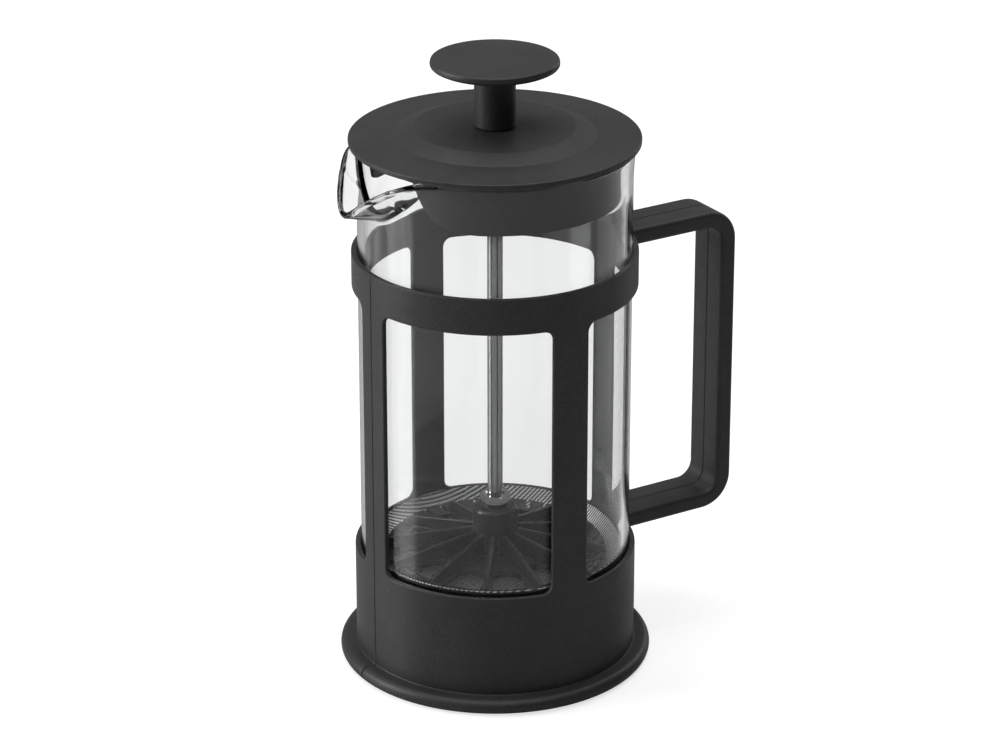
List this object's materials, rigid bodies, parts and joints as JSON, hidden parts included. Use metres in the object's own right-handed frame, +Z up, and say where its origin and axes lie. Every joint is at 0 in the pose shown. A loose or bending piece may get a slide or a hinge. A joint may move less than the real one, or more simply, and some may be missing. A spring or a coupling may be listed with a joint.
{
  "type": "french press",
  "caption": "Small french press: glass beaker in a moulded holder with a C-shaped handle, flat lid with a pouring-gap skirt, and a knob, rod and mesh filter plunger.",
  "frame": {"origin": "centre of the ring that the holder stands on, at the table", "axes": "+Z up along the beaker and the rod; +X towards the handle, -X towards the spout; Y across the handle"},
  "size_m": [0.1149, 0.0816, 0.1637],
  "materials": {
    "black_plastic": "fine satin moulded texture",
    "filter_plastic": "smooth satin",
    "beaker_glass": "clear, fire-polished rim",
    "rod_steel": "drawn and polished",
    "nut_steel": "bright plated",
    "mesh_steel": "fine woven wire",
    "brass_insert": "plain machined"
  },
  "bodies": {
    "holder": {"holder_frame": "black_plastic"},
    "beaker": {"glass_beaker": "beaker_glass"},
    "lid": {"lid_cover": "black_plastic"},
    "lid_skirt": {"lid_strainer_ring": "black_plastic"},
    "plunger": {"knob": "black_plastic", "knob_insert": "brass_insert", "plunger_rod": "rod_steel", "rod_lock_nut": "nut_steel", "filter_upper_plate": "filter_plastic", "filter_mesh": "mesh_steel", "filter_cross_plate": "filter_plastic", "cross_plate_insert": "brass_insert"}
  },
  "joints": [
    {"name": "beaker_lift", "type": "slide", "parent": "holder", "child": "beaker", "axis": [0, 0, 1], "range_m": [0, 0.115]},
    {"name": "lid_lift", "type": "slide", "parent": "beaker", "child": "lid", "axis": [0, 0, 1], "range_m": [0, 0.125]},
    {"name": "lid_turn", "type": "hinge", "parent": "lid", "child": "lid_skirt", "pos_m": [0, 0, 0.1345], "axis": [0, 0, 1], "continuous": true},
    {"name": "plunger_press", "type": "slide", "parent": "lid", "child": "plunger", "axis": [0, 0, 1], "range_m": [0, 0.094]}
  ]
}
